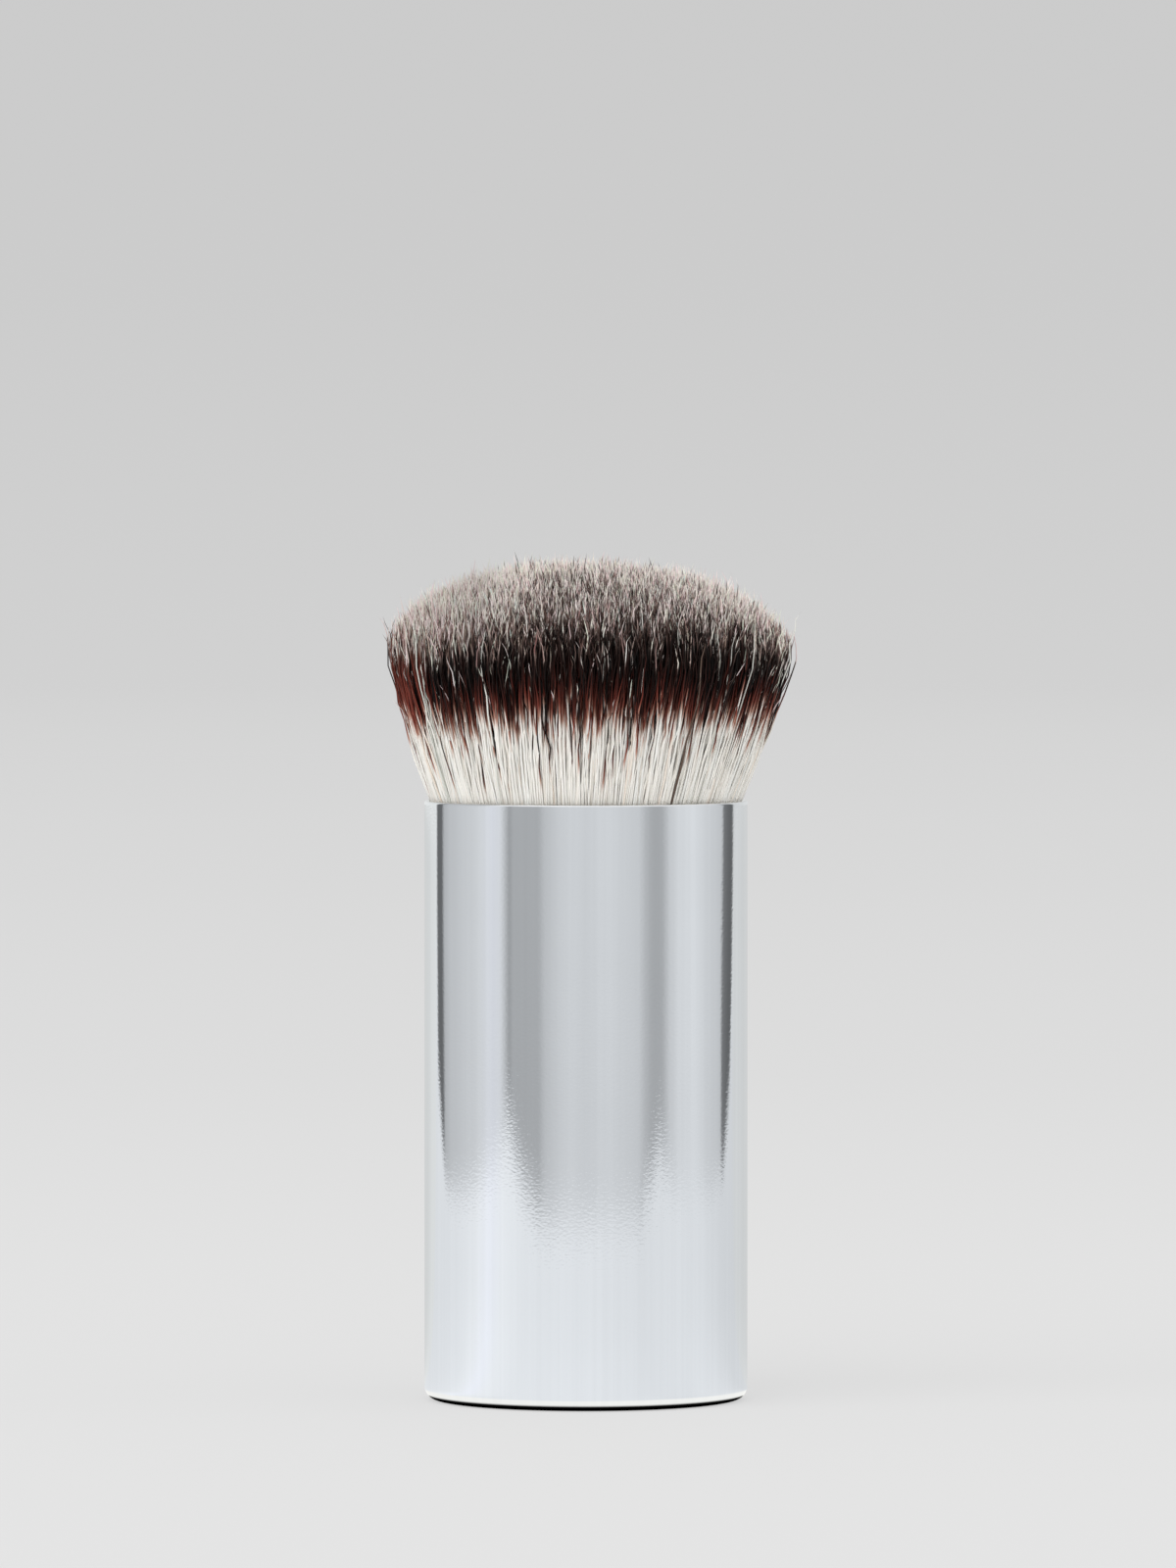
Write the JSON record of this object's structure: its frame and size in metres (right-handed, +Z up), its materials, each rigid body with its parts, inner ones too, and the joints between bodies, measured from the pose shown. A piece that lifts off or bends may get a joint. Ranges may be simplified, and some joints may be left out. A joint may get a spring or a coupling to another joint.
{
  "type": "buffing brush",
  "caption": "Short buffing brush: smooth cylindrical metal handle, closed and rounded at the base, with a flared head of dense bristles cut to a low dome.",
  "frame": {"origin": "centre of the flat base", "axes": "+Z up the axis of the handle, from the base to the bristles; +X and +Y alike, because the brush is round"},
  "size_m": [0.0409, 0.0409, 0.0838],
  "materials": {
    "polished_aluminium": "polished, drawn and buffed, with a faint ripple",
    "satin_aluminium": "satin, as pressed",
    "white_moulding": "plain moulded white",
    "plated_steel": "turned and zinc plated",
    "black_foam": "fine closed-cell foam",
    "amber_resin": "cured casting resin",
    "white_thread": "bonded thread",
    "bristle_fibre": "fine fibre, cream at the root, red-brown to black above, and grey-pink at the tip"
  },
  "bodies": {
    "root": {"handle_shell": "polished_aluminium", "core_sleeve": "white_moulding", "base_weight": "plated_steel", "weight_cushion": "black_foam", "ferrule_cup": "satin_aluminium", "resin_plug": "amber_resin", "binding_thread": "white_thread", "bristle_core": "bristle_fibre", "bristle_ring_1": "bristle_fibre", "bristle_ring_2": "bristle_fibre", "bristle_ring_3": "bristle_fibre", "bristle_ring_4": "bristle_fibre", "bristle_ring_5": "bristle_fibre"}
  },
  "joints": []
}
